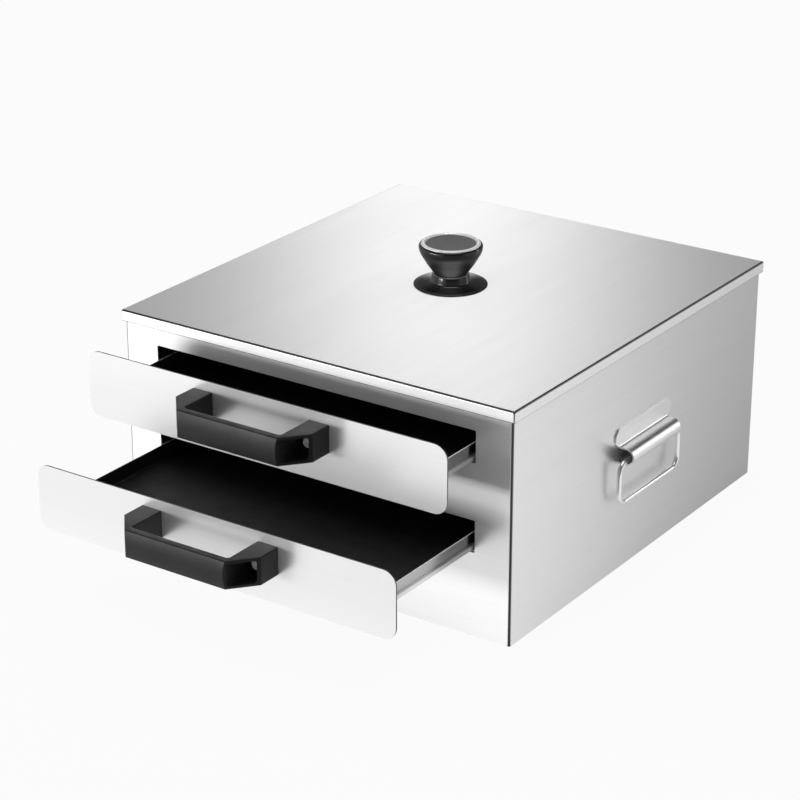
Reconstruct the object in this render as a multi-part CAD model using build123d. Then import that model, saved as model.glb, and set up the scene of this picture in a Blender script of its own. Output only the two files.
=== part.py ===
"""Drawer-type rice noodle roll steamer: a folded stainless cabinet with a water pan at the bottom,
two shallow trays that slide out on angle rails, a lift-off lid and a folding grip on each side.

The origin is the centre of the base on the surface the steamer stands on, +Z is up and the drawers
pull out towards -Y. All sizes are in millimetres.
"""
from build123d import *
import os

# ---------------------------------------------------------------- driving sizes
cabinet_width = 330.0
cabinet_depth = 350.0
wall = 0.8               # sheet of the cabinet, the pan and the lid
fold_radius = 2.0        # outside radius of the cabinet's folds
rim_width = 10.0         # flange folded inwards round the top

# The height is a stack: water space, lower slot, steel between the slots, upper slot, head room.
tank_height = 63.0
pan_rim_drop = 15.0      # from the lower slot down to the water pan's edge
slot_spacing = 42.0
slot_side_margin = 29.0  # from the cabinet's side to the slot's end
slot_corner = 1.0

rail_thickness = 1.0
rail_rise = 0.5          # the rail's underside above the slot's lower edge
rail_ledge = 12.0        # how far the rail reaches in under the tray
rail_height = 11.5
rail_tab = 12.0          # tab welded to the end panels
slide_gap = 0.3          # running gap under a sliding tray and behind a closed drawer front

tray_wall = 0.8
tray_height = 12.2
tray_rear_gap = 32.0     # from the closed tray's end to the back panel, for the steam to rise
tray_corner = 4.0
tray_floor_radius = 2.4
runner_width = 1.8
runner_height = 3.0
runner_gap = 1.2         # from the runner to the slot's end and the rail's upright
runner_drop = 8.5        # from the tray's edge down to the runner's top

front_thickness = 1.2
front_side_overlap = 15.0
front_top_overlap = 12.4
front_bottom_overlap = 12.9
front_corner = 10.0
front_lid_gap = 0.6      # from the upper drawer front's edge up to the lid's skirt
upper_open = 56.0        # how far each drawer stands open as stored
lower_open = 114.0

handle_length = 115.0
handle_reach = 38.0
handle_height = 20.5
handle_cut_side = 16.5   # the cut-off outer corners, along the handle and along its reach
handle_cut_reach = 19.5
handle_leg = 17.0
handle_bar = 7.0
handle_barrel = 42.0     # radius of the grip's rounded front
handle_wall = 1.8        # wall round the pocket that each screw sits in
handle_roof = 2.2        # wall over and under that pocket
handle_pocket_corner = 1.5
handle_inner_corner = 2.0
handle_edge = 0.9

screw_radius = 2.0
screw_hole_radius = 2.25
screw_head_radius = 4.0
screw_head_height = 2.8
screw_seat = 10.5        # from the drawer front to the face that the screw's head sits on
washer_radius = 4.4
washer_thickness = 0.8
washer_clearance = 0.6   # over and under the washers, between the tray's edge and the slot's top
nut_across_flats = 7.0
nut_height = 3.2
screw_tail = 1.0         # thread that shows past the nut
cross_slot_width = 0.9
cross_slot_length = 4.4
cross_slot_depth = 1.2

lid_side_gap = 0.6       # from the cabinet's walls to the hem inside the skirt
lid_skirt = 8.5
lid_fold = 1.5
lid_hem_height = 4.6
lid_hem_edge = 0.7
lid_seat_gap = 0.3
lid_seam = 0.35          # open mitre at each corner of the skirt

knob_flange_radius = 27.5
knob_flange_edge = 1.7
knob_flange_rise = 1.4   # from the flange's edge up to the collar's foot
knob_foot_radius = 14.4  # the collar's foot, and its top under the grip
knob_collar_radius = 13.5
knob_collar_height = 9.2
knob_soft = 1.2          # radius of the soft corners on the foot
knob_waist_radius = 12.8
knob_waist_height = 0.8  # the waist's straight foot over the collar
knob_belly_radius = 18.7  # the flank's middle
knob_belly_height = 9.6  # from the collar up to it
knob_top_radius = 23.7
knob_shoulder = 2.5      # from the knob's top down to its widest
knob_height = 32.8
knob_rim = 1.6           # black rim outside the ring
knob_ring_width = 3.4
knob_ring_depth = 2.0
knob_ring_crown = 0.5    # how far the ring stands over the rim
knob_disc_drop = 0.4     # from the knob's top down to the disc's edge
knob_disc_sag = 0.9
knob_screw_radius = 2.5
knob_screw_depth = 14.0  # bore inside the grip
knob_screw_short = 1.0   # from the screw's tip to the bore's end
knob_screw_head = 4.6
knob_screw_head_height = 3.0
knob_washer_radius = 9.0
knob_washer_thickness = 1.2
thread_gap = 0.05

bracket_thickness = 1.2
bracket_plate_width = 79.0
bracket_plate_height = 14.0
bracket_shoulder = 5.0   # height of the sloping cuts at the plate's corners
bracket_top_inset = 4.5  # from the plate's side in to its top edge
bracket_roll_inset = 5.5
bracket_corner = 2.4
bracket_roll_inner = 5.3
bracket_roll_reach = 6.5  # from the wall to the roll's centre
bracket_fillet = 1.6
bracket_centre_height = 91.0
wire_radius = 2.0
wire_gap = 0.2
bail_side_gap = 1.0      # from the bracket's plate out to the side wires
bail_drop = 31.0         # between the top and bottom wires' centres
bail_corner = 8.0

# ---------------------------------------------------------------- places worked out from them
half_width = cabinet_width / 2
half_depth = cabinet_depth / 2
inner_half_width = half_width - wall
inner_half_depth = half_depth - wall
pan_height = tank_height - pan_rim_drop
nut_room = 2 * (washer_radius + washer_clearance)
slot_height = rail_rise + rail_thickness + slide_gap + tray_height + nut_room
head_room = front_top_overlap + front_lid_gap + lid_skirt - lid_seat_gap - wall
lower_slot_bottom = tank_height
upper_slot_bottom = tank_height + slot_height + slot_spacing
cabinet_height = upper_slot_bottom + slot_height + head_room
slot_half_width = half_width - slot_side_margin
lid_under = cabinet_height + lid_seat_gap
lid_top = lid_under + wall
lid_overhang = lid_side_gap + 2 * wall
tray_half_width = slot_half_width - runner_gap - runner_width
tray_length = cabinet_depth - 2 * wall - tray_rear_gap
front_height = slot_height + front_top_overlap + front_bottom_overlap
front_half_width = slot_half_width + front_side_overlap
screw_spread = handle_length / 2 - handle_leg / 2
knob_ring_outer = knob_top_radius - knob_rim
knob_ring_inner = knob_ring_outer - knob_ring_width
knob_screw_hole = knob_screw_radius + thread_gap
bail_length = bracket_plate_width + 2 * (bail_side_gap + wire_radius)
wire_height = bracket_centre_height - bracket_roll_inner + wire_radius + wire_gap
beyond = 1000.0          # a length that reaches past everything, for cuts


def slab(x, y, z):
    """A box between the low and high values given for each axis."""
    block = Box(x[1] - x[0], y[1] - y[0], z[1] - z[0])
    return Pos((x[0] + x[1]) / 2, (y[0] + y[1]) / 2, (z[0] + z[1]) / 2) * block


def rod(radius, length, at, along):
    """A round rod that starts at a point and runs along a direction."""
    return extrude(Plane(origin=at, z_dir=along) * Circle(radius), length)


def facing_front(x, y, z):
    """A sketch plane that looks out of the front, with its own X along the object's X."""
    return Plane(origin=(x, y, z), x_dir=(1, 0, 0), z_dir=(0, -1, 0))


def mirrored(shape):
    return mirror(shape, Plane.YZ)


def pan_head(radius, height):
    """A rounded screw head with a cross recess, its seat on the XY plane and its top at +Z."""
    head = Pos(0, 0, height / 2) * Cylinder(radius, height)
    head = fillet(head.edges().group_by(Axis.Z)[-1], height / 2)
    depth = (height - cross_slot_depth, beyond)
    long, thin = cross_slot_length / 2, cross_slot_width / 2
    return head - slab((-long, long), (-thin, thin), depth) - slab((-thin, thin), (-long, long), depth)


# ---------------------------------------------------------------- cabinet
def end_panel():
    """The front's sheet without its slots: a face with a rim, folded round both upright corners."""
    face, x = -half_depth, half_width
    outer = slab((-x, x), (face, face + rim_width), (0, cabinet_height))
    outer = fillet(outer.edges().filter_by(Axis.Z).group_by(Axis.Y)[0], fold_radius)
    x = inner_half_width
    hollow = slab((-x, x), (face + wall, beyond), (-beyond, cabinet_height - wall))
    hollow = fillet(hollow.edges().filter_by(Axis.Z).group_by(Axis.Y)[0], fold_radius - wall)
    past_fold = slab((x, beyond), (face + fold_radius, beyond), (-beyond, beyond))
    return outer - hollow - past_fold - mirrored(past_fold)


def slot_cut(bottom):
    """The opening that a drawer passes through, with slightly rounded corners."""
    outline = RectangleRounded(2 * slot_half_width, slot_height, slot_corner)
    start = facing_front(0, rim_width - half_depth, bottom + slot_height / 2)
    return extrude(start * outline, 2 * rim_width)


def front_panel():
    return end_panel() - slot_cut(lower_slot_bottom) - slot_cut(upper_slot_bottom)


def back_panel():
    return Rot(0, 0, 180) * end_panel()


def right_side_panel():
    """A flat side, butt-welded to the end panels' folds, with its rim between theirs."""
    y = half_depth - fold_radius
    side = slab((inner_half_width, half_width), (-y, y), (0, cabinet_height))
    x, y = (half_width - rim_width, inner_half_width), half_depth - rim_width
    return side + slab(x, (-y, y), (cabinet_height - wall, cabinet_height))


def bottom_pan():
    """The water pan, which fits inside the four walls."""
    x, y = inner_half_width, inner_half_depth
    outer = slab((-x, x), (-y, y), (0, pan_height))
    outer = fillet(outer.edges().filter_by(Axis.Z) + outer.edges().group_by(Axis.Z)[0], fold_radius)
    x, y = x - wall, y - wall
    hollow = slab((-x, x), (-y, y), (wall, pan_height + beyond))
    hollow = fillet(hollow.edges().filter_by(Axis.Z) + hollow.edges().group_by(Axis.Z)[0], fold_radius - wall)
    return outer - hollow


def right_rail(slot_bottom):
    """An angle that runs from the front panel to the back panel, with a welding tab at each end."""
    low = slot_bottom + rail_rise
    outside = slot_half_width + rail_thickness
    length = (-inner_half_depth, inner_half_depth)
    ledge = slab((tray_half_width - rail_ledge, outside), length, (low, low + rail_thickness))
    guide = slab((slot_half_width, outside), length, (low, low + rail_height))
    end = (inner_half_depth - rail_thickness, inner_half_depth)
    tab = slab((outside, outside + rail_tab), end, (low, low + rail_height))
    return ledge + guide + tab + mirror(tab, Plane.XZ)


# ---------------------------------------------------------------- drawers
def rail_top(slot_bottom):
    return slot_bottom + rail_rise + rail_thickness


def tray_bottom(slot_bottom):
    return rail_top(slot_bottom) + slide_gap


def drawer_face(opened):
    """Y of the drawer front's back, which is where its tray begins."""
    return -half_depth - opened


def tray(slot_bottom, opened):
    """A shallow pan with rounded corners and a rounded edge along its floor."""
    low, start, x = tray_bottom(slot_bottom), drawer_face(opened), tray_half_width
    outer = slab((-x, x), (start, start + tray_length), (low, low + tray_height))
    outer = fillet(outer.edges().filter_by(Axis.Z), tray_corner)
    outer = fillet(outer.edges().group_by(Axis.Z)[0], tray_floor_radius)
    x = x - tray_wall
    hollow = slab((-x, x), (start + tray_wall, start + tray_length - tray_wall), (low + tray_wall, beyond))
    hollow = fillet(hollow.edges().filter_by(Axis.Z), tray_corner - tray_wall)
    hollow = fillet(hollow.edges().group_by(Axis.Z)[0], tray_floor_radius - tray_wall)
    return outer - hollow


def right_runner(slot_bottom, opened):
    """A bar along the tray's side, which steadies it between the rails."""
    top = tray_bottom(slot_bottom) + tray_height - runner_drop
    start = drawer_face(opened)
    length = (start, start + tray_length - tray_corner)
    return slab((tray_half_width, tray_half_width + runner_width), length, (top - runner_height, top))


def front_top(slot_bottom):
    return slot_bottom + slot_height + front_top_overlap


def handle_centre(slot_bottom):
    """Height of the handle's screws, halfway between the tray's edge and the slot's top."""
    return slot_bottom + slot_height - nut_room / 2


def screw_holes(slot_bottom, radius, start, length):
    """Two rods along Y at the handle's screws."""
    z = handle_centre(slot_bottom)
    return [rod(radius, length, (x, start, z), (0, 1, 0)) for x in (-screw_spread, screw_spread)]


def drawer_front(slot_bottom, opened):
    back = drawer_face(opened)
    centre = front_top(slot_bottom) - front_height / 2
    outline = RectangleRounded(2 * front_half_width, front_height, front_corner)
    plate = extrude(facing_front(0, back, centre) * outline, front_thickness)
    holes = screw_holes(slot_bottom, screw_hole_radius, back - beyond / 2, beyond)
    return plate - holes


def handle(slot_bottom, opened):
    """A moulded grip: a bar on two hollow legs, its outer corners cut off and its front slightly rounded."""
    end, reach = handle_length / 2, handle_reach
    inside, bar_back = end - handle_leg, handle_bar - reach
    cut_x, cut_y = end - handle_cut_side, handle_cut_reach - reach
    block = make_face(Polyline(
        (-end, 0), (-end, cut_y), (-cut_x, -reach), (cut_x, -reach), (end, cut_y), (end, 0), close=True,
    ))
    hollow = make_face(Polyline(
        (-inside, reach), (-inside, bar_back), (inside, bar_back), (inside, reach), close=True,
    ))
    hollow = fillet([v for v in hollow.vertices() if v.Y < 0], handle_inner_corner)
    grip = Pos(0, 0, -handle_height / 2) * extrude(block - hollow, handle_height)
    barrel = Pos(0, handle_barrel - reach, 0) * Rot(0, 90, 0) * Cylinder(handle_barrel, 2 * handle_length)
    grip = grip & barrel
    rims = grip.edges().group_by(Axis.Z)[0] + grip.edges().group_by(Axis.Z)[-1]
    corners = grip.edges().filter_by(lambda edge: abs(edge.center().Z) < 0.1 and edge.center().Y < cut_y / 2)
    outer_corners = [edge for edge in corners if abs(edge.center().X) > cut_x - handle_edge]
    grip = fillet([edge for edge in rims if edge.center().Y < 0] + outer_corners, handle_edge)
    width, height = handle_leg - 2 * handle_wall, handle_height - 2 * handle_roof
    pocket = RectangleRounded(width, height, handle_pocket_corner)
    grip -= [extrude(facing_front(x, -screw_seat, 0) * pocket, beyond) for x in (-screw_spread, screw_spread)]
    y = drawer_face(opened) - front_thickness
    grip = Pos(0, y, handle_centre(slot_bottom)) * grip
    return grip - screw_holes(slot_bottom, screw_hole_radius, y - beyond / 2, beyond)


def handle_screws(slot_bottom, opened):
    """Pan-head screws with a cross recess, put in from the front."""
    seat = drawer_face(opened) - front_thickness - screw_seat
    shank = screw_seat + front_thickness + washer_thickness + nut_height + screw_tail
    screw = pan_head(screw_head_radius, screw_head_height) + rod(screw_radius, shank, (0, 0, 0), (0, 0, -1))
    z = handle_centre(slot_bottom)
    return [facing_front(x, seat, z).location * screw for x in (-screw_spread, screw_spread)]


def handle_washers(slot_bottom, opened):
    y = drawer_face(opened)
    rings = screw_holes(slot_bottom, washer_radius, y, washer_thickness)
    bores = screw_holes(slot_bottom, screw_hole_radius, y - beyond / 2, beyond)
    return [ring - bore for ring, bore in zip(rings, bores)]


def handle_nuts(slot_bottom, opened):
    y, z = drawer_face(opened) + washer_thickness, handle_centre(slot_bottom)
    hexagon = RegularPolygon(nut_across_flats / 2, 6, major_radius=False)
    outline = hexagon - Circle(screw_radius + thread_gap)
    return [extrude(facing_front(x, y, z) * outline, -nut_height) for x in (-screw_spread, screw_spread)]


# ---------------------------------------------------------------- lid and knob
def lid_cover():
    """A flat cover with a short hemmed skirt, open in a fine mitre at each corner."""
    x, y = half_width + lid_overhang, half_depth + lid_overhang
    skirt_low = lid_top - lid_skirt
    outer = slab((-x, x), (-y, y), (skirt_low, lid_top))
    outer = fillet(outer.edges().filter_by(Axis.Z) + outer.edges().group_by(Axis.Z)[-1], lid_fold)
    outer = fillet(outer.edges().group_by(Axis.Z)[0], lid_hem_edge)
    x, y = x - wall, y - wall
    hollow = slab((-x, x), (-y, y), (-beyond, lid_under))
    hollow = fillet(hollow.edges().filter_by(Axis.Z) + hollow.edges().group_by(Axis.Z)[-1], lid_fold - wall)
    x, y = x - wall, y - wall
    hem = slab((-beyond, beyond), (-beyond, beyond), (-beyond, skirt_low + lid_hem_height))
    hem -= slab((-x, x), (-y, y), (-beyond, beyond))
    cover = outer - (hollow - hem)
    seam_height = lid_skirt - lid_fold
    seam = Box(4 * lid_overhang, lid_seam, seam_height)
    for sx in (-1, 1):
        for sy in (-1, 1):
            corner = Pos(sx * half_width, sy * half_depth, skirt_low + seam_height / 2)
            cover -= corner * Rot(0, 0, 45 * sx * sy) * seam
    return cover - rod(knob_screw_hole, beyond, (0, 0, lid_under - beyond / 2), (0, 0, 1))


def turned(outline):
    """A solid of revolution about the knob's axis; the outline gives radius and height over the lid."""
    return Pos(0, 0, lid_top) * revolve(Plane.XZ * make_face(outline), Axis.Z)


def knob_skirt():
    """The wide foot under the grip: a thin flange that rises gently to a collar."""
    collar, foot = (knob_collar_radius, knob_collar_height), knob_flange_edge + knob_flange_rise
    outside = FilletPolyline(
        collar, (knob_foot_radius, foot), (knob_flange_radius, knob_flange_edge), (knob_flange_radius, 0),
        radius=knob_soft,
    )
    bore = (knob_screw_hole, knob_collar_height)
    return turned([outside, Polyline((knob_flange_radius, 0), (knob_screw_hole, 0), bore, collar)])


def knob_body():
    """The grip: waisted below and flaring to a soft shoulder, with a seat for the ring and its disc."""
    top, foot = knob_height, knob_collar_height
    seat, bore = top - knob_ring_depth, foot + knob_screw_depth
    waist = (knob_waist_radius, foot + knob_waist_height)
    belly = (knob_belly_radius, foot + knob_belly_height)
    widest, rim = (knob_top_radius, top - knob_shoulder), (knob_ring_outer, top)
    corner = (knob_top_radius - 0.25 * knob_rim, top - 0.3 * knob_shoulder)
    outside = [
        Line((knob_waist_radius, foot), waist),
        Spline(waist, belly, widest, tangents=[(0.55, 1.0), (0.0, 1.0)]),
        ThreePointArc(widest, corner, rim),
    ]
    inside = Polyline(
        rim, (knob_ring_outer, seat), (0, seat), (0, bore),
        (knob_screw_hole, bore), (knob_screw_hole, foot), (knob_waist_radius, foot),
    )
    return turned([*outside, inside])


def knob_ring():
    """The bright ring pressed into the top of the grip."""
    low, top = knob_height - knob_ring_depth, knob_height
    crown = ((knob_ring_inner + knob_ring_outer) / 2, top + knob_ring_crown)
    outer, inner = (knob_ring_outer, top), (knob_ring_inner, top)
    sides = Polyline(outer, (knob_ring_outer, low), (knob_ring_inner, low), inner)
    return turned([sides, ThreePointArc(inner, crown, outer)])


def knob_disc():
    """The dished disc inside the ring."""
    seat, top = knob_height - knob_ring_depth, knob_height - knob_disc_drop
    middle, edge = (0, top - knob_disc_sag), (knob_ring_inner, top)
    dish = ThreePointArc(middle, (knob_ring_inner / 2, top - 0.75 * knob_disc_sag), edge)
    return turned([dish, Polyline(edge, (knob_ring_inner, seat), (0, seat), middle)])


def knob_washer():
    top = lid_under
    ring = rod(knob_washer_radius, knob_washer_thickness, (0, 0, top), (0, 0, -1))
    return ring - rod(knob_screw_hole, beyond, (0, 0, top - beyond / 2), (0, 0, 1))


def knob_screw():
    """The screw from under the lid into the grip."""
    seat = lid_under - knob_washer_thickness
    length = lid_top + knob_collar_height + knob_screw_depth - knob_screw_short - seat
    head = Pos(0, 0, seat) * Rot(180, 0, 0) * pan_head(knob_screw_head, knob_screw_head_height)
    return head + rod(knob_screw_radius, length, (0, 0, seat), (0, 0, 1))


# ---------------------------------------------------------------- side grips
def right_bail_bracket():
    """A strap on the side wall: a flat plate above, and a roll that the wire turns in."""
    outside, inside = bracket_roll_inner + bracket_thickness, bracket_roll_inner
    reach, centre = bracket_roll_reach, bracket_centre_height
    wide = bracket_plate_width / 2
    narrow, top = wide - bracket_roll_inset, wide - bracket_top_inset
    low, high = inside, outside + bracket_plate_height
    roll = make_face([
        Line((0, outside), (reach, outside)),
        ThreePointArc((reach, outside), (reach + outside, 0), (reach, -outside)),
        Polyline((reach, -outside), (0, -outside), (0, -inside), (reach, -inside)),
        ThreePointArc((reach, -inside), (reach + inside, 0), (reach, inside)),
        Polyline((reach, inside), (0, inside), (0, outside)),
    ])
    strap = extrude(facing_front(half_width, narrow, centre) * roll, 2 * narrow)
    plate = make_face(Polyline(
        (-narrow, low), (-wide, low + bracket_shoulder), (-wide, high - bracket_shoulder), (-top, high),
        (top, high), (wide, high - bracket_shoulder), (wide, low + bracket_shoulder), (narrow, low),
        close=True,
    ))
    plate = fillet([v for v in plate.vertices() if v.Y > low], bracket_corner)
    on_wall = Plane(origin=(half_width, 0, centre), x_dir=(0, 1, 0), z_dir=(1, 0, 0))
    bracket = strap + extrude(on_wall * plate, bracket_thickness)
    bend = Vector(half_width + bracket_thickness, 0, centre + outside)
    valley = bracket.edges().filter_by(Axis.Y).sort_by_distance(bend)[0]
    return fillet(valley, bracket_fillet)


def right_bail():
    """The wire loop that hangs in the bracket's roll, swept as two mirrored halves."""
    x, y = half_width + bracket_roll_reach, bail_length / 2
    top, low = wire_height, wire_height - bail_drop
    path = FilletPolyline((x, 0, top), (x, y, top), (x, y, low), (x, 0, low), radius=bail_corner)
    half = sweep(Plane(origin=(x, 0, top), z_dir=(0, 1, 0)) * Circle(wire_radius), path)
    return half + mirror(half, Plane.XZ)


# ---------------------------------------------------------------- everything, by name
def drawer(name, slot_bottom, opened):
    """One drawer's pieces under their names."""
    runner = right_runner(slot_bottom, opened)
    return {
        f"{name}_drawer_front": drawer_front(slot_bottom, opened),
        f"{name}_tray": tray(slot_bottom, opened),
        f"{name}_right_runner": runner,
        f"{name}_left_runner": mirrored(runner),
        f"{name}_handle": handle(slot_bottom, opened),
        f"{name}_handle_screws": handle_screws(slot_bottom, opened),
        f"{name}_handle_washers": handle_washers(slot_bottom, opened),
        f"{name}_handle_nuts": handle_nuts(slot_bottom, opened),
    }


def rails(name, slot_bottom):
    rail = right_rail(slot_bottom)
    return {f"{name}_right_rail": rail, f"{name}_left_rail": mirrored(rail)}


def sides():
    """The pieces that come in a right and a left hand."""
    right = {
        "side_panel": right_side_panel(),
        "bail_bracket": right_bail_bracket(),
        "bail": right_bail(),
    }
    made = {f"right_{name}": shape for name, shape in right.items()}
    made.update({f"left_{name}": mirrored(shape) for name, shape in right.items()})
    return made


pieces = {
    "front_panel": front_panel(),
    "back_panel": back_panel(),
    "bottom_pan": bottom_pan(),
    **sides(),
    **rails("lower", lower_slot_bottom),
    **rails("upper", upper_slot_bottom),
    **drawer("lower", lower_slot_bottom, lower_open),
    **drawer("upper", upper_slot_bottom, upper_open),
    "lid_cover": lid_cover(),
    "knob_skirt": knob_skirt(),
    "knob_body": knob_body(),
    "knob_ring": knob_ring(),
    "knob_disc": knob_disc(),
    "knob_washer": knob_washer(),
    "knob_screw": knob_screw(),
}

os.makedirs("parts", exist_ok=True)
for name, shape in pieces.items():
    solids = shape if isinstance(shape, list) else [shape]
    solids = [solid for item in solids for solid in item.solids()]
    export_step(solids[0] if len(solids) == 1 else Compound(children=solids), f"parts/{name}.step")
    print(name, len(solids))
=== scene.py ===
# %% [markdown]
# # A drawer steamer in folded stainless steel
#
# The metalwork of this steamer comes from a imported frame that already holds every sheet, rail and
# screw at its real size. This lesson gives those sheets their finishes, and models afresh the pieces
# whose round edges decide how they catch the light: the two coated trays, the knob with its
# bright ring, and the wire grips on the sides.

# %% Load the frame
import math

import bpy
import numpy as np
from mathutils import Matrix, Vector


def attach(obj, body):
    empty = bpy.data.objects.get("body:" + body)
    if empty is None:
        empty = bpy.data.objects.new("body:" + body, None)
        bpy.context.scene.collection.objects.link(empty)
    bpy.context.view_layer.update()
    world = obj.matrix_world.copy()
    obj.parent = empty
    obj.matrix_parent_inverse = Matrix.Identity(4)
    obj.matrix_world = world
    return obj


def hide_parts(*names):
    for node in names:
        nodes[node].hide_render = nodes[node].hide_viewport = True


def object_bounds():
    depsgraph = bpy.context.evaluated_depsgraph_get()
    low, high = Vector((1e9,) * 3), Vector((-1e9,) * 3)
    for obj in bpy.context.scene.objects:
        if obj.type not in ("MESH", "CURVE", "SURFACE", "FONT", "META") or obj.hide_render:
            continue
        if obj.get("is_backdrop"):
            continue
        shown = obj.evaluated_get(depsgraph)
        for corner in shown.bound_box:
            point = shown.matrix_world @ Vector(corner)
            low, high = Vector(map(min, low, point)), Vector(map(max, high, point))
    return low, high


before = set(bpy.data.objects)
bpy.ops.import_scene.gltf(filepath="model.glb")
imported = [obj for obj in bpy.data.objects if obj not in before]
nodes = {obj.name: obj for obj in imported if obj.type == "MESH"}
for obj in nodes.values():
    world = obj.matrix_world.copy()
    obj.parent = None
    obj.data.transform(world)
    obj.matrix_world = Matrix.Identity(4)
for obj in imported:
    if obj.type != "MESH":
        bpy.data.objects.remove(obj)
cad_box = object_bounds()
scene = bpy.context.scene
MM = 0.001
print("nodes in the frame:", len(nodes))

# %% [markdown]
# ## The camera
# A catalogue picture of such a box is taken from nearly two metres away, from the right and from
# above, with a long lens that keeps the edges nearly parallel. The camera comes first, because
# every finish below is judged through it.

# %% Camera
CAMERA_PLACE = Vector((0.9787, -1.4907, 0.8310))
CAMERA_AZIMUTH = math.radians(34.4844)
CAMERA_ELEVATION = math.radians(22.7832)

camera_data = bpy.data.cameras.new("camera")
camera_data.lens = 115.81
camera_data.sensor_width = 36.0
camera = bpy.data.objects.new("camera", camera_data)
scene.collection.objects.link(camera)
back = Vector((math.sin(CAMERA_AZIMUTH) * math.cos(CAMERA_ELEVATION),
               -math.cos(CAMERA_AZIMUTH) * math.cos(CAMERA_ELEVATION),
               math.sin(CAMERA_ELEVATION)))
camera.location = CAMERA_PLACE
camera.rotation_mode = "QUATERNION"
camera.rotation_quaternion = (-back).to_track_quat("-Z", "Y")
scene.camera = camera
scene.view_settings.view_transform = "Standard"
print("camera distance from the axis:", round(CAMERA_PLACE.xy.length, 3), "m")

# %% [markdown]
# ## Helpers for surfaces
# Most of the new pieces are the same kind of surface: a profile carried round a path. If the profile
# has m points and the path n places, numpy can work out all m x n points at once, and the faces
# are the little quadrilaterals between neighbours. Only three things change from piece to piece:
# whether the path closes on itself, whether the profile does, and whether its ends need a cap.

# %% Grid of points to mesh


def grid_faces(rows, columns, closed_rows=False, closed_columns=True):
    """Quadrilaterals between neighbours of a rows x columns grid, as an array of vertex numbers.

    Point (i, j) has the number i * columns + j. The face at (i, j) joins (i, j), (i, j+1),
    (i+1, j+1) and (i+1, j), and the last row or column joins the first where that way is closed.
    """
    i = np.arange(rows if closed_rows else rows - 1)[:, None]
    j = np.arange(columns if closed_columns else columns - 1)[None, :]
    i2, j2 = (i + 1) % rows, (j + 1) % columns
    quads = [i * columns + j, i * columns + j2, i2 * columns + j2, i2 * columns + j]
    shape = np.broadcast_shapes(i.shape, j.shape)
    return np.stack([np.broadcast_to(quad, shape) for quad in quads], -1).reshape(-1, 4)


def new_piece(name, points, faces, materials, index=None, smooth=True):
    """A mesh object from an array of points in metres and an array of faces, with its materials."""
    mesh = bpy.data.meshes.new(name)
    mesh.from_pydata(points.reshape(-1, 3).tolist(), [], [list(face) for face in faces])
    for mat in materials:
        mesh.materials.append(mat)
    if index is not None:
        mesh.polygons.foreach_set("material_index", np.asarray(index, np.int32))
    mesh.polygons.foreach_set("use_smooth", np.full(len(mesh.polygons), smooth))
    mesh.update()
    piece = bpy.data.objects.new(name, mesh)
    scene.collection.objects.link(piece)
    return piece


def place(piece, body, slot, *replaced):
    """Puts a finished piece on its body and hides the nodes it stands for."""
    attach(piece, body)
    if replaced:
        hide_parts(*replaced)
    print(piece.name, "rides on", body, "with", len(piece.data.polygons), "faces")


# %% [markdown]
# ## Helpers for finishes
# Every finish is a small tree of shader nodes. These helpers keep the trees short to write: one
# makes a material and hands back its surface shader, one adds a node with its settings, and the
# others read the point's place, stretch a noise over it, or map one range of numbers to another.
# They take a material or the world, because both have a tree.

# %% Shader helpers


def new_finish(name, color, **values):
    """A material with one Principled shader; the values are its sockets, set by name."""
    mat = bpy.data.materials.new(name)
    mat.use_nodes = True
    surface = mat.node_tree.nodes["Principled BSDF"]
    surface.inputs["Base Color"].default_value = (*color, 1)
    for socket, value in values.items():
        surface.inputs[socket.replace("_", " ")].default_value = value
    return mat, surface


def add(mat, kind, **settings):
    """Adds one shader node; a setting is a property of the node or else the name of a socket."""
    node = mat.node_tree.nodes.new(kind)
    for key, value in settings.items():
        if hasattr(node, key):
            setattr(node, key, value)
        else:
            node.inputs[key.replace("_", " ")].default_value = value
    return node


def join(mat, source, target):
    mat.node_tree.links.new(source, target)


def feed(mat, value, socket):
    """Gives a socket a plain number, or joins it to another node's output."""
    if isinstance(value, (int, float)):
        socket.default_value = value
    else:
        join(mat, value, socket)


def noise(mat, cycles, detail=4.0, rough=0.6):
    """Noise over Object coordinates, with its own number of cycles per metre along X, Y and Z."""
    where = add(mat, "ShaderNodeTexCoord")
    stretch = add(mat, "ShaderNodeMapping")
    stretch.inputs["Scale"].default_value = cycles
    pattern = add(mat, "ShaderNodeTexNoise", Scale=1.0, Detail=detail, Roughness=rough)
    join(mat, where.outputs["Object"], stretch.inputs["Vector"])
    join(mat, stretch.outputs["Vector"], pattern.inputs["Vector"])
    return pattern.outputs[0]


def spread(mat, value, source, target=(0.0, 1.0), kind="LINEAR"):
    """Maps a value from one range of numbers to another, and holds it there at the ends."""
    node = add(mat, "ShaderNodeMapRange", interpolation_type=kind)
    for socket, number in zip(("From Min", "From Max", "To Min", "To Max"), (*source, *target)):
        node.inputs[socket].default_value = number
    join(mat, value, node.inputs["Value"])
    return node.outputs["Result"]


def blend_of(mat, first, second, share):
    """The first value and a share of the second."""
    node = add(mat, "ShaderNodeMix", data_type="FLOAT")
    for socket, value in ((0, share), (2, first), (3, second)):
        feed(mat, value, node.inputs[socket])
    return node.outputs[0]


def shades(mat, value, surface, dark, light, low=0.3, high=0.7):
    """Colours the surface from dark to light along a value."""
    ramp = add(mat, "ShaderNodeValToRGB")
    for element, position, color in zip(ramp.color_ramp.elements, (low, high), (dark, light)):
        element.position = position
        element.color = (*color, 1)
    join(mat, value, ramp.inputs["Fac"])
    join(mat, ramp.outputs["Color"], surface.inputs["Base Color"])


def measure(mat, operation, first, second=0.0):
    """One step of arithmetic on a value."""
    node = add(mat, "ShaderNodeMath", operation=operation)
    for socket, value in zip(node.inputs, (first, second)):
        feed(mat, value, socket)
    return node.outputs[0]


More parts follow.
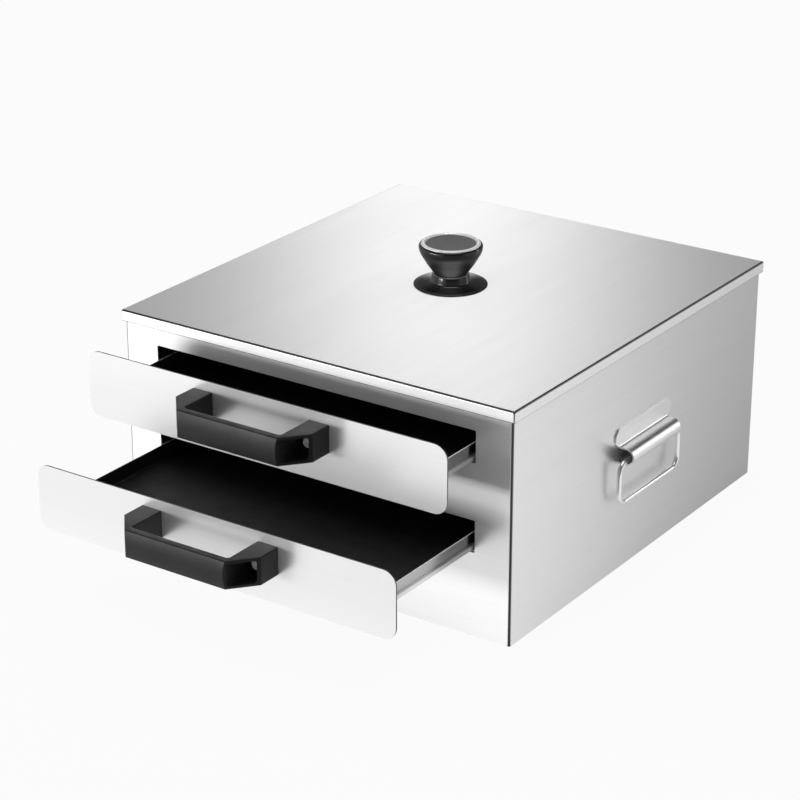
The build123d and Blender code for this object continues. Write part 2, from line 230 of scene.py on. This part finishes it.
def read_axes(mat, output):
    """The X, Y and Z of one of the Texture Coordinate node's outputs."""
    axes = add(mat, "ShaderNodeSeparateXYZ")
    join(mat, add(mat, "ShaderNodeTexCoord").outputs[output], axes.inputs[0])
    return [axes.outputs[axis] for axis in "XYZ"]


def facing(mat):
    """How squarely the surface faces along X, Y and Z: three values from 0 to 1."""
    return [measure(mat, "ABSOLUTE", axis) for axis in read_axes(mat, "Normal")]


def recolour(mat, surface, mask, color):
    """Mixes another colour over the surface's own where the mask is 1."""
    own = surface.inputs["Base Color"].links[0].from_socket
    mix = add(mat, "ShaderNodeMix", data_type="RGBA")
    join(mat, mask, mix.inputs[0])
    join(mat, own, mix.inputs[6])
    mix.inputs[7].default_value = (*color, 1)
    join(mat, mix.outputs[2], surface.inputs["Base Color"])


def relief(mat, value, surface, strength, height):
    """Bumps the surface by a value, with the given full height in metres."""
    bump = add(mat, "ShaderNodeBump", Strength=strength, Distance=height)
    join(mat, value, bump.inputs["Height"])
    join(mat, bump.outputs["Normal"], surface.inputs["Normal"])
    return bump


# %% [markdown]
# ## Brushed stainless steel
# Brushed steel is a mirror that has been dragged through fine grit. The scratches all run one way,
# so light that meets them fans out across the grain and hardly along it. Two things show that: a
# noise stretched eightyfold along the grain, which moves the colour, the roughness and, least of
# all, the height, and the shader's own anisotropy, whose tangent is the grain's direction. A
# second and broader streak keeps a large sheet from looking like wallpaper, and a third pattern,
# about 14 cm across, gives the sheet the slight waviness that rolled sheet has once it is folded.
#
# A catalogue picture shows each fold of such a cabinet as a thin dark line. The reflections give
# only part of it, so the bends also get painted shade here, a darker tone found by the surface's
# direction. On the trays' bare outside the bends get a lighter tone instead, a painted highlight.
# That is a choice for the look of the picture and no property of the steel.

# %% Steel with a grain along X or Y
GRAIN_LENGTH = 16.0      # cycles per metre along the grain
GRAIN_WIDTH = 1300.0     # cycles per metre across it
ASKEW = 0.1              # turns the grain a little, so that no face is square to it
GRAIN = {"X": (1.0, ASKEW, 0.0), "Y": (ASKEW, 1.0, 0.0)}
SCRATCH_HEIGHT = 0.0002  # metres
WAVE_HEIGHT = 0.0006
WAVES = 7.0              # cycles per metre of the sheet's waviness
BEND = (0.997, 0.95)     # flat above the first number, a bend below the second: see facing()


def brushed_steel(name, grain, tone=0.86, rough=0.33, fan=0.6, wave=0.25, streak=0.03, bare=0.85,
                  painted_bend_tone=0.3):
    """Steel brushed along one axis; tone is its mean grey and fan how far light fans out.

    The share that isn't bare metal is matte in the same grey. It lightens the sheet.
    """
    mat, surface = new_finish(name, (tone,) * 3, Metallic=bare, Roughness=rough, Anisotropic=fan,
                              Anisotropic_Rotation=0.25)
    fine = [GRAIN_LENGTH if axis == grain else GRAIN_WIDTH for axis in "XYZ"]
    broad = [0.3 * GRAIN_LENGTH if axis == grain else 0.09 * GRAIN_WIDTH for axis in "XYZ"]
    scratches = blend_of(mat, noise(mat, fine, 5.0, 0.7), noise(mat, broad, 3.0), 0.3)
    shades(mat, scratches, surface, ((1 - streak) * tone,) * 3, (min(1.0, (1 + streak) * tone),) * 3)
    join(mat, spread(mat, scratches, (0.3, 0.7), (rough + 0.02, rough - 0.02)), surface.inputs["Roughness"])
    bump = relief(mat, scratches, surface, 0.03, SCRATCH_HEIGHT)
    sheet = add(mat, "ShaderNodeBump", Strength=wave, Distance=WAVE_HEIGHT)
    join(mat, noise(mat, (WAVES,) * 3, 1.0), sheet.inputs["Height"])
    join(mat, sheet.outputs["Normal"], bump.inputs["Normal"])
    x, y, z = facing(mat)
    # The bends, found by the surface's direction, get a tone of their own: painted shade where it is darker
    # than the sheet, a painted highlight where it is lighter. They are also made fully metallic.
    bend = spread(mat, measure(mat, "MAXIMUM", measure(mat, "MAXIMUM", x, y), z), BEND)
    recolour(mat, surface, bend, (painted_bend_tone,) * 3)
    join(mat, spread(mat, bend, (0.0, 1.0), (bare, 1.0)), surface.inputs["Metallic"])
    tangent = add(mat, "ShaderNodeCombineXYZ")
    for socket, value in zip(tangent.inputs, GRAIN[grain]):
        socket.default_value = value
    join(mat, tangent.outputs["Vector"], surface.inputs["Tangent"])
    return mat


# On the bends a lower tone than the sheet's is painted shade, and a higher one, as on the trays' outside, is
# a painted highlight; where the two are equal nothing is painted.
lid_finish = brushed_steel("lid, brushed front to back", "Y", tone=0.92, rough=0.3, fan=0.2, bare=0.72,
                           painted_bend_tone=0.15)
side_finish = brushed_steel("side walls, brushed front to back", "Y", tone=0.88)
face_finish = brushed_steel("front and back, brushed side to side", "X", tone=0.92, rough=0.32, bare=0.72)
front_finish = brushed_steel("drawer fronts, brushed side to side", "X", tone=0.92, rough=0.29, fan=0.3,
                             bare=0.75)
# The rails' low tone is painted shade, for the dark inside the cabinet where they run.
rail_finish = brushed_steel("rails, in the dark of the cabinet", "Y", tone=0.3, rough=0.5, fan=0.4)
runner_finish = brushed_steel("runners, brushed", "Y", tone=0.86, rough=0.28, fan=0.4, painted_bend_tone=0.86)
pan_finish = brushed_steel("water pan, mill finish", "Y", tone=0.74, rough=0.34, fan=0.2, wave=0.6)
tray_outside = brushed_steel("bare outside of the trays", "Y", tone=0.5, rough=0.24, fan=0.3, bare=1.0,
                             painted_bend_tone=0.95)
strap_finish = brushed_steel("grip straps", "Y", tone=0.97, rough=0.3, fan=0.1, wave=0.0, bare=0.75,
                             painted_bend_tone=0.97)

# %% [markdown]
# Five places get painted light and shade, to read as they do in such a picture: a painted highlight
# makes the lid's skirt lighter than its top, the drawer fronts get painted shade on their cut edges
# and painted light on their backs, and the slots' edges and the trays' rims get painted highlights.
# One helper sets each by the way the surface faces. These are choices for the look too.

# %% Painted light and shade on skirt, edges, backs and rims


def paint_light_by_facing(mat, direction, limits, tone, bare, rough=0.35):
    """Paints light and shade by facing: the surfaces that face one way get their own tone, share of bare
    metal and roughness.

    The mask rises from 0 to 1 while the direction goes from the first limit to the second.
    """
    surface = mat.node_tree.nodes["Principled BSDF"]
    mask = spread(mat, direction, limits)
    recolour(mat, surface, mask, (tone,) * 3)
    for socket, value in (("Metallic", bare), ("Roughness", rough)):
        own = surface.inputs[socket].links[0].from_socket
        join(mat, blend_of(mat, own, value, mask), surface.inputs[socket])


Y, Z = 1, 2              # places in the list of three directions
# The lid's skirt is its only upright surface, and it gets a painted highlight.
paint_light_by_facing(lid_finish, facing(lid_finish)[Z], (0.05, 0.02), tone=1.0, bare=0.8, rough=0.5)
# A drawer front's cut edges face away from Y and get painted shade, and its back faces +Y.
paint_light_by_facing(front_finish, facing(front_finish)[Y], (0.5, 0.4), tone=0.12, bare=1.0)
# The slots' edges face away from Y as well, and get a painted highlight.
paint_light_by_facing(face_finish, facing(face_finish)[Y], (0.03, 0.01), tone=0.97, bare=0.5)
# The drawer fronts' backs get painted light, which the cabinet's front mirrors.
paint_light_by_facing(front_finish, read_axes(front_finish, "Normal")[Y], (0.5, 0.6), tone=0.95, bare=0.35)
# A tray's rim turns upwards and gets a painted highlight; so do the faces underneath, which turn down.
paint_light_by_facing(tray_outside, facing(tray_outside)[Z], (0.15, 0.4), tone=1.0, bare=0.3)
print("steel finishes:", sum(m.name.count("brushed") for m in bpy.data.materials), "of them brushed")

# %% [markdown]
# ## The other finishes
# The wire and the fasteners are polished or plated, so they are nearly mirrors, but even plating
# has a faint orange peel. The handles are moulded from black phenolic: its mould leaves a fine
# grain that turns a sharp reflection into a soft sheen. The knob is the same plastic, polished. The
# trays' coating is sprayed on and baked, so it is matte with a fine speckle. The handle screws
# and the knob's ring get a low share of bare metal, which shows them nearly white; that is for the
# look as well.

# %% Bright metal, plastic and coating


def bright_metal(name, tone, rough, bare=1.0):
    """Polished or plated metal: faint clouds in the roughness and a hardly visible orange peel."""
    mat, surface = new_finish(name, (tone,) * 3, Metallic=bare, Roughness=rough)
    clouds = noise(mat, (90.0,) * 3, 4.0)
    shades(mat, clouds, surface, (tone * 0.93,) * 3, (tone, tone, min(1.0, tone * 1.01)))
    join(mat, spread(mat, clouds, (0.3, 0.7), (rough * 0.7, rough * 1.4)), surface.inputs["Roughness"])
    relief(mat, noise(mat, (700.0,) * 3, 2.0), surface, 0.01, 0.0002)
    return mat


def moulded(name, dark, light, rough, grain_height, gloss=0.5):
    """Black moulding: a fine even grain over slow clouds of a slightly different black."""
    mat, surface = new_finish(name, dark, Specular_IOR_Level=gloss, IOR=1.58)
    clouds, grain = noise(mat, (60.0,) * 3, 4.0), noise(mat, (2600.0,) * 3, 2.0, 0.5)
    shades(mat, clouds, surface, dark, light)
    join(mat, spread(mat, clouds, (0.3, 0.7), (rough * 1.08, rough * 0.92)), surface.inputs["Roughness"])
    relief(mat, grain, surface, 0.35, grain_height)
    return mat


wire_finish = bright_metal("polished wire", 0.97, 0.2, 0.8)
screw_finish = bright_metal("plated handle screws", 0.97, 0.3, 0.4)
plated_finish = bright_metal("plated fasteners", 0.84, 0.16)
ring_finish = bright_metal("chrome ring", 1.0, 0.3, 0.4)
handle_finish = moulded("handle phenolic", (0.007, 0.007, 0.008), (0.012, 0.012, 0.013), 0.42, 0.00012, 0.25)
knob_finish = moulded("polished knob phenolic", (0.006, 0.006, 0.0065), (0.009, 0.009, 0.0095), 0.11,
                      0.000004)
coat_finish = moulded("baked tray coating", (0.0055, 0.0055, 0.006), (0.0095, 0.0095, 0.010), 0.55,
                      0.00008, 0.3)
print("finishes so far:", len(bpy.data.materials))

# %% [markdown]
# ## The knob
# The knob is turned about one axis, so it is the simplest surface of all: a profile of radius and
# height, carried round a circle. The profiles below are in millimetres, with height counted from
# the lid. A soft edge is a short arc of points, because a polished edge that is truly sharp shows
# no highlight at all. The knob is four pieces: the foot, the grip, the chrome ring pressed into
# its top and the dished disc inside the ring.

# %% Profiles and turning


def arc(centre, radius, start, end, count):
    """Points on an arc: centre + radius * (cos a, sin a) for angles a from start to end degrees."""
    a = np.radians(np.linspace(start, end, count))
    return np.stack([centre[0] + radius * np.cos(a), centre[1] + radius * np.sin(a)], -1)


def smooth_through(points, first, last, count):
    """A cubic curve through the points (Hermite pieces) with the given directions at its ends."""
    points = np.asarray(points, float)
    step = np.linalg.norm(np.diff(points, axis=0), axis=1)
    along = np.concatenate([[0], np.cumsum(step)])
    slope = np.gradient(points, along, axis=0)
    slope[0], slope[-1] = np.asarray(first, float), np.asarray(last, float)
    slope[[0, -1]] /= np.linalg.norm(slope[[0, -1]], axis=1, keepdims=True)
    s = np.linspace(0, along[-1], count)
    k = np.clip(np.searchsorted(along, s, side="right") - 1, 0, len(step) - 1)
    h = step[k][:, None]
    t = (s - along[k])[:, None] / h
    return ((2 * t**3 - 3 * t**2 + 1) * points[k] + (t**3 - 2 * t**2 + t) * h * slope[k]
            + (-2 * t**3 + 3 * t**2) * points[k + 1] + (t**3 - t**2) * h * slope[k + 1])


LID_TOP = 174.5


def turned(name, profile, mat, around=192):
    """Surface of revolution: (r, z) becomes (r cos a, r sin a, LID_TOP + z) for a full turn of a.

    The profile runs from the axis below to the axis above, so each end closes in one point.
    """
    profile = np.asarray(profile, float) * MM
    a = np.arange(around) * 2 * np.pi / around
    ring = profile[1:-1]
    points = np.stack([ring[:, :1] * np.cos(a), ring[:, :1] * np.sin(a),
                       LID_TOP * MM + np.repeat(ring[:, 1:], around, 1)], -1).reshape(-1, 3)
    ends = [[0, 0, LID_TOP * MM + profile[0, 1]], [0, 0, LID_TOP * MM + profile[-1, 1]]]
    first, last, top = len(points), len(points) + 1, (len(ring) - 1) * around
    j = np.arange(around)
    beside = (j + 1) % around
    below = np.stack([np.full(around, first), beside, j], -1)
    above = np.stack([np.full(around, last), top + j, top + beside], -1)
    faces = grid_faces(len(ring), around).tolist() + below.tolist() + above.tolist()
    return new_piece(name, np.vstack([points, ends]), faces, [mat])

# %% Foot of the knob
COLLAR_TOP = 9.2
foot_profile = np.vstack([
    [[0, 0.02], [20.0, 0.02], [26.9, 0.02]],
    arc((26.8, 0.72), 0.7, -90, 78, 12),
    smooth_through([(26.4, 1.46), (21.0, 2.25), (16.6, 2.9)], (-1, 0.10), (-1, 0.16), 18),
    arc((16.1, 4.55), 1.65, -104, -173, 10),
    [[14.3, 5.6], [13.9, 8.2]],
    arc((13.3, 8.7), 0.5, 0, 90, 7),
    [[10.0, COLLAR_TOP], [0, COLLAR_TOP]],
])
knob_foot = turned("knob_foot", foot_profile, knob_finish)
place(knob_foot, "lid", "knob_phenolic", "knob_skirt")

# %% Grip, ring and disc
SEAM = COLLAR_TOP + 0.02
RING_OUT, RING_IN = 22.1, 18.7
grip_profile = np.vstack([
    [[0, SEAM], [10.0, SEAM], [12.75, SEAM]],
    smooth_through([(12.8, 10.0), (18.7, 18.8), (23.7, 30.3)], (0.55, 1.0), (0, 1), 40),
    arc((21.3, 30.3), 2.4, 4, 60, 12),
    [[RING_OUT + 0.2, 32.44], [RING_OUT + 0.05, 32.3], [RING_OUT, 31.2], [0, 31.2]],
])
knob_grip = turned("knob_grip", grip_profile, knob_finish)
place(knob_grip, "lid", "knob_phenolic", "knob_body")
ring_middle = (RING_OUT + RING_IN) / 2
ring_profile = np.vstack([
    [[0, 31.25], [RING_OUT - 0.02, 31.25], [RING_OUT - 0.02, 32.5]],
    smooth_through([(21.9, 32.85), (ring_middle + 0.6, 33.28), (19.4, 33.1), (18.9, 32.5)],
                   (-0.4, 1), (-0.2, -1), 24),
    [[18.8, 32.0], [18.8, 31.28], [0, 31.28]],
])
knob_rim = turned("knob_rim", ring_profile, ring_finish)
place(knob_rim, "lid", "knob_chrome", "knob_ring")

# %% [markdown]
# The disc inside the ring is faced on a lathe. The tool leaves rings a third of a millimetre
# apart, which show as a fan of light that turns with the view. A wave texture of rings about the
# knob's axis gives them; the anisotropy's tangent runs round the same axis.

# %% Turned disc
disc_finish, surface = new_finish("turned disc", (0.16, 0.16, 0.165), Metallic=0.3, Roughness=0.6,
                                  Anisotropic=0.4)
where = add(disc_finish, "ShaderNodeTexCoord")
rings = add(disc_finish, "ShaderNodeTexWave", wave_type="RINGS", rings_direction="Z", Scale=900.0,
            Distortion=1.5)
join(disc_finish, where.outputs["Object"], rings.inputs["Vector"])
mottled = blend_of(disc_finish, rings.outputs[1], noise(disc_finish, (400.0,) * 3), 0.5)
shades(disc_finish, mottled, surface, (0.12, 0.12, 0.125), (0.19, 0.19, 0.195), 0.2, 0.8)
join(disc_finish, spread(disc_finish, mottled, (0.2, 0.8), (0.66, 0.56)), surface.inputs["Roughness"])
relief(disc_finish, rings.outputs[1], surface, 0.25, 0.00004)
tangent = add(disc_finish, "ShaderNodeTangent", direction_type="RADIAL", axis="Z")
join(disc_finish, tangent.outputs[0], surface.inputs["Tangent"])
DISC_RADIUS, DISC_MIDDLE, DISC_SAG = 18.6, 31.5, 0.86
r = np.linspace(DISC_RADIUS - 0.1, 0, 20)
disc_profile = np.vstack([[[0, 31.3], [DISC_RADIUS, 31.3], [18.72, 32.36]],
                          np.stack([r, DISC_MIDDLE + DISC_SAG * (r / DISC_RADIUS) ** 2], -1)])
knob_plate = turned("knob_plate", disc_profile, disc_finish)
place(knob_plate, "lid", "knob_disc_metal", "knob_disc")
# Mirror-like rays pass the knob by, which keeps its dark image out of the lid. A real lid has one.
for piece in (knob_foot, knob_grip, knob_rim, knob_plate, nodes["knob_screw"]):
    piece.visible_glossy = False

# %% [markdown]
# ## The trays
# Each tray is pressed from one sheet: a flat floor, a small radius all round it, and a straight
# wall whose cut edge is rubbed smooth. Inside it has a black baked coating, outside it is bare
# steel, and the two meet on the rim, which shows as a bright line: the bare steel there also gets
# a painted highlight. So the tray is one closed surface, a profile that goes up the outside and
# down the inside, carried round a rectangle with rounded corners, and its material changes at the rim.

# %% Path round a rounded rectangle


def rounded_rectangle(half_x, half_y, radius, corner=10, side=12):
    """Places round a rectangle with rounded corners, and the outward direction at each.

    A place is a corner's centre plus radius times the outward direction, so a profile offset
    d beyond it lies at centre + (radius + d) * direction: the offset path keeps its corners round.
    """
    a = np.linspace(0, 90, corner)
    turn = np.radians(np.concatenate([a + 90 * k for k in range(4)]))
    sign = np.repeat([[1, 1], [-1, 1], [-1, -1], [1, -1]], corner, 0)
    centre = sign * [half_x - radius, half_y - radius]
    outward = np.stack([np.cos(turn), np.sin(turn)], -1)
    following = np.roll(np.arange(len(turn)), -1)
    share = np.linspace(0, 1, side, endpoint=False)[None, :, None]
    straight = np.arange(corner - 1, 4 * corner, corner)
    fill = centre[straight, None] * (1 - share) + centre[following[straight], None] * share
    centres, directions = [], []
    for k in range(4):
        centres += [centre[k * corner:(k + 1) * corner - 1], fill[k]]
        directions += [outward[k * corner:(k + 1) * corner - 1],
                       np.repeat(outward[straight[k], None], side, 0)]
    return np.vstack(centres), np.vstack(directions)


def carried_round(name, middle, half, radius, profile, materials, index):
    """Carries a profile of (offset, height) in millimetres round a rounded rectangle.

    The point for place p with outward direction n and profile point (d, h) is
    middle + p + (radius + d) n at height h, and both ends of the profile close flat.
    """
    centre, outward = rounded_rectangle(*half, radius)
    profile = np.asarray(profile, float)
    flat = centre[None] + (radius + profile[:, :1, None]) * outward[None]
    height = np.broadcast_to(profile[:, 1:, None], flat.shape[:2] + (1,))
    points = np.concatenate([flat, height], -1) + np.asarray(middle)
    count = points.shape[1]
    faces = grid_faces(len(profile), count).tolist()
    index = np.repeat(index, count).tolist()
    faces += [list(range(count))[::-1], list(range((len(profile) - 1) * count, len(profile) * count))]
    index += [index[0], index[-1]]
    return new_piece(name, points.reshape(-1, 3) * MM, faces, materials, index)


# %% Both trays
TRAY_HALF, TRAY_LENGTH, TRAY_HEIGHT, TRAY_WALL, TRAY_CORNER = 133.0, 316.4, 12.2, 0.8, 4.0
FOLD = 2.4               # outer radius between the floor and the wall
HALFWAY = 6.0            # a point on the straight wall
LIP_BARE = 6             # how many rows of the rim's faces are bare steel
rim = TRAY_WALL / 2
outside = np.vstack([[[-FOLD - 0.2, 0.0]], arc((-FOLD, FOLD), FOLD, -88, 0, 9),
                     [[0, HALFWAY], [0, TRAY_HEIGHT - rim]]])
lip = arc((-rim, TRAY_HEIGHT - rim), rim, 10, 170, 9)
inside = np.vstack([[[-TRAY_WALL, TRAY_HEIGHT - rim], [-TRAY_WALL, HALFWAY]],
                    arc((-FOLD, FOLD), FOLD - TRAY_WALL, 0, -88, 8), [[-FOLD - 0.2, TRAY_WALL]]])
tray_profile = np.vstack([outside, lip, inside])
bare = np.arange(len(tray_profile) - 1) < len(outside) + LIP_BARE
for name, low, front in (("upper", 130.8, -231.0), ("lower", 64.8, -289.0)):
    middle = (0, front + TRAY_LENGTH / 2, low)
    tray = carried_round(f"{name}_tray_shell", middle, (TRAY_HALF, TRAY_LENGTH / 2), TRAY_CORNER,
                         tray_profile, [tray_outside, coat_finish], np.where(bare, 0, 1))
    place(tray, f"{name}_drawer", "tray_coated_steel", f"{name}_tray")

# %% [markdown]
# ## The wire grips
# Each grip is a loop of polished wire, bent round four corners and butt-welded into a ring. A tube
# is a circle carried along the wire's middle line: at each place the circle lies across the path,
# in the plane of the path's own outward direction and the wall's normal.

# %% Wire loops
WIRE_OUT, WIRE_HALF, WIRE_TOP, WIRE_LOW = 171.5, 42.5, 87.9, 56.9
WIRE_CORNER, WIRE_RADIUS, WIRE_SIDES = 8.0, 2.0, 28


def wire_loop(name, side):
    """A tube: place p with outward direction n and wire angle b gives p + r (n cos b + x sin b)."""
    half_height, middle = (WIRE_TOP - WIRE_LOW) / 2, (WIRE_TOP + WIRE_LOW) / 2
    centre, outward = rounded_rectangle(WIRE_HALF, half_height, WIRE_CORNER, corner=14, side=8)
    b = np.arange(WIRE_SIDES) * 2 * np.pi / WIRE_SIDES
    along = centre[:, None] + (WIRE_CORNER + WIRE_RADIUS * np.cos(b))[None, :, None] * outward[:, None]
    across = np.broadcast_to(side * (WIRE_OUT + WIRE_RADIUS * np.sin(b))[None, :], along.shape[:2])
    points = np.stack([across, along[..., 0], along[..., 1] + middle], -1)
    faces = grid_faces(*points.shape[:2], closed_rows=True)
    faces = faces if side > 0 else faces[:, ::-1]
    return new_piece(name, points.reshape(-1, 3) * MM, faces, [wire_finish])


for name, side in (("right", 1), ("left", -1)):
    place(wire_loop(f"{name}_wire", side), f"{name}_bail", "wire_steel", f"{name}_bail")

# %% [markdown]
# ## Finishes on the frame's own pieces
# The remaining pieces keep the frame's shapes. The grain runs side to side on the front, the back
# and the drawer fronts, and front to back on the side walls, the lid and everything long and thin.

# %% One finish for each node
finish_of = {"front_panel": face_finish, "back_panel": face_finish, "lid_cover": lid_finish,
             "bottom_pan": pan_finish, "knob_washer": plated_finish, "knob_screw": plated_finish}
endings = {"side_panel": side_finish, "rail": rail_finish, "runner": runner_finish,
           "bail_bracket": strap_finish, "drawer_front": front_finish, "handle": handle_finish,
           "handle_screws": screw_finish, "handle_washers": plated_finish, "handle_nuts": plated_finish}
for name, node in nodes.items():
    if node.hide_render:
        continue
    finish = finish_of.get(name) or next(mat for end, mat in endings.items() if name.endswith(end))
    node.data.materials.clear()
    node.data.materials.append(finish)
print("nodes with a finish:", sum(not node.hide_render for node in nodes.values()))

# %% [markdown]
# ## The studio
# Metal shows what stands round it, so the studio is built for reflections first. The floor and the
# world tell mirror-like rays from the others. The others meet an even pale studio. Mirror-like rays
# meet a pattern: the floor and a bright band round the horizon fill the flat faces, two narrow
# panels stand behind, a dark gap above the band draws the folded edges, and a soft box overhead
# lights the gaps behind the drawer fronts. The pattern is set out for this one camera, so other
# views show the same steel with other highlights. The picture's background stays white, because
# the camera sees the world, and nine tenths of the floor, at a strength of 1.

# %% Floor that falls off towards the back
SMOOTH = "SMOOTHSTEP"
TURN = (-math.pi, math.pi)


def ramp(owner, value, stops):
    """A grey level for a value from 0 to 1, by stops of (value, level)."""
    node = add(owner, "ShaderNodeValToRGB")
    while len(node.color_ramp.elements) < len(stops):
        node.color_ramp.elements.new(0.5)
    for element, (position, level) in zip(node.color_ramp.elements, stops):
        element.position = position
        element.color = (level, level, level, 1)
    join(owner, value, node.inputs["Fac"])
    return node.outputs["Color"]


def mixed(owner, share, first, second):
    """Mixes two shaders; the share is the second one's."""
    node = add(owner, "ShaderNodeMixShader")
    for socket, source in zip(node.inputs, (share, first.outputs[0], second.outputs[0])):
        join(owner, source, socket)
    return node


floor_mat = bpy.data.materials.new("pale floor")
floor_mat.use_nodes = True
floor_mat.node_tree.nodes.clear()
path = add(floor_mat, "ShaderNodeLightPath")
x, y, z = read_axes(floor_mat, "Object")
# Under the lower drawer the floor is bright, further out a little less, and behind it falls off.
near = spread(floor_mat, y, (-0.41, -0.36), (0.76, 1.0))
across = measure(floor_mat, "SUBTRACT", measure(floor_mat, "MULTIPLY", y, 0.48),
                 measure(floor_mat, "MULTIPLY", x, 0.88))
falloff = spread(floor_mat, across, (-0.30, -0.04), (1.0, 0.30), SMOOTH)
shade = blend_of(floor_mat, near, falloff, spread(floor_mat, y, (-0.28, -0.10), kind=SMOOTH))
# One sector about the near corner is dark: headings from straight in front to 90 degrees right.
NEAR_CORNER = (0.163, -0.173)
heading = measure(floor_mat, "ARCTAN2", measure(floor_mat, "SUBTRACT", x, NEAR_CORNER[0]),
                  measure(floor_mat, "SUBTRACT", NEAR_CORNER[1], y))
unlit = ramp(floor_mat, spread(floor_mat, heading, TURN),
             [(0.0, 1.0), (0.495, 1.0), (0.51, 0.02), (0.735, 0.02), (0.765, 1.0), (1.0, 1.0)])
matte = add(floor_mat, "ShaderNodeBsdfDiffuse", Color=(0.9, 0.9, 0.9, 1))
white, mirrored = add(floor_mat, "ShaderNodeEmission"), add(floor_mat, "ShaderNodeEmission")
join(floor_mat, measure(floor_mat, "MULTIPLY", shade, unlit), mirrored.inputs["Strength"])
WHITE_SHARE, MIRRORED_SHARE = 0.91, 0.85     # the rest is the matte floor, which keeps the shadow
in_view = mixed(floor_mat, measure(floor_mat, "MULTIPLY", path.outputs["Is Camera Ray"], WHITE_SHARE),
                matte, white)
in_metal = mixed(floor_mat, measure(floor_mat, "MULTIPLY", path.outputs["Is Glossy Ray"], MIRRORED_SHARE),
                 in_view, mirrored)
join(floor_mat, in_metal.outputs[0], add(floor_mat, "ShaderNodeOutputMaterial").inputs["Surface"])
HALF, UNDER = 6.0, -0.0003
corners = np.array([(-HALF, -HALF, UNDER), (HALF, -HALF, UNDER), (HALF, HALF, UNDER), (-HALF, HALF, UNDER)])
floor = new_piece("floor", corners, [(0, 1, 2, 3)], [floor_mat], smooth=False)
floor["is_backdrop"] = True

# %% World: a bright band, a dark gap and a soft box overhead
world = bpy.data.worlds.new("studio")
scene.world = world
world.use_nodes = True
world.node_tree.nodes.clear()
path = add(world, "ShaderNodeLightPath")
x, y, z = read_axes(world, "Generated")
# Levels by height, as the sine of the elevation.
HEIGHTS = [(0.0, 0.95), (0.44, 1.0), (0.54, 0.08), (0.86, 0.06), (0.93, 0.9), (1.0, 1.0)]
# Levels by heading in degrees. Two bright panels stand behind, left and right; the band is dim
# beside them and even in front.
PANEL = 3.4
HEADINGS = [(-180, 0.95), (-100, 0.9), (-60, 0.4), (-38.5, 0.18), (-35.5, 2.25), (-31.5, 2.25),
            (-28.5, 0.16), (27, 0.30), (31.5, PANEL), (35.5, PANEL), (40, 0.30), (60, 0.6), (85, 0.8),
            (105, 0.12), (170, 0.12), (180, 0.95)]
levels = ramp(world, z, HEIGHTS)
round_band = ramp(world, spread(world, measure(world, "ARCTAN2", x, y), TURN),
                  [(angle / 360.0 + 0.5, level / PANEL) for angle, level in HEADINGS])
shaped = measure(world, "MULTIPLY", levels, measure(world, "MULTIPLY", round_band, PANEL))
# Overhead the heading means nothing, so the soft box is left whole.
pattern = blend_of(world, shaped, levels, spread(world, z, (0.7, 0.8)))
seen_by_metal = add(world, "ShaderNodeBackground")
join(world, pattern, seen_by_metal.inputs["Strength"])
ambient = add(world, "ShaderNodeBackground", Strength=0.7)
off_metal = mixed(world, path.outputs["Is Glossy Ray"], ambient, seen_by_metal)
in_view = mixed(world, path.outputs["Is Camera Ray"], off_metal, add(world, "ShaderNodeBackground"))
join(world, in_view.outputs[0], add(world, "ShaderNodeOutputWorld").inputs["Surface"])

# %% Lamps


def soft_lamp(name, place_at, look_at, size, watts):
    """A rectangular area lamp, wide and high, that looks at a point."""
    data = bpy.data.lights.new(name, "AREA")
    data.energy = watts
    data.shape = "RECTANGLE"
    data.size, data.size_y = size
    lamp = bpy.data.objects.new(name, data)
    scene.collection.objects.link(lamp)
    lamp.location = place_at
    lamp.rotation_mode = "QUATERNION"
    lamp.rotation_quaternion = (Vector(look_at) - Vector(place_at)).to_track_quat("-Z", "Y")
    return lamp


soft_lamp("low key from the left", (-1.1, -2.0, 0.17), (0, -0.25, 0.12), (1.1, 0.24), 17)
soft_lamp("overhead", (0.15, -0.15, 2.0), (0.1, -0.1, 0.0), (1.2, 1.2), 8)
print("lamps:", len(bpy.data.lights))

# %% [markdown]
# The two boxes, of the metalwork and of the finished model, are measured, and the largest
# difference between them is printed.

# %% Size of the finished model
visual_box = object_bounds()
difference = np.abs(np.array(cad_box) - np.array(visual_box)).max()
print("largest difference:", round(float(difference) * 1000, 2), "mm")
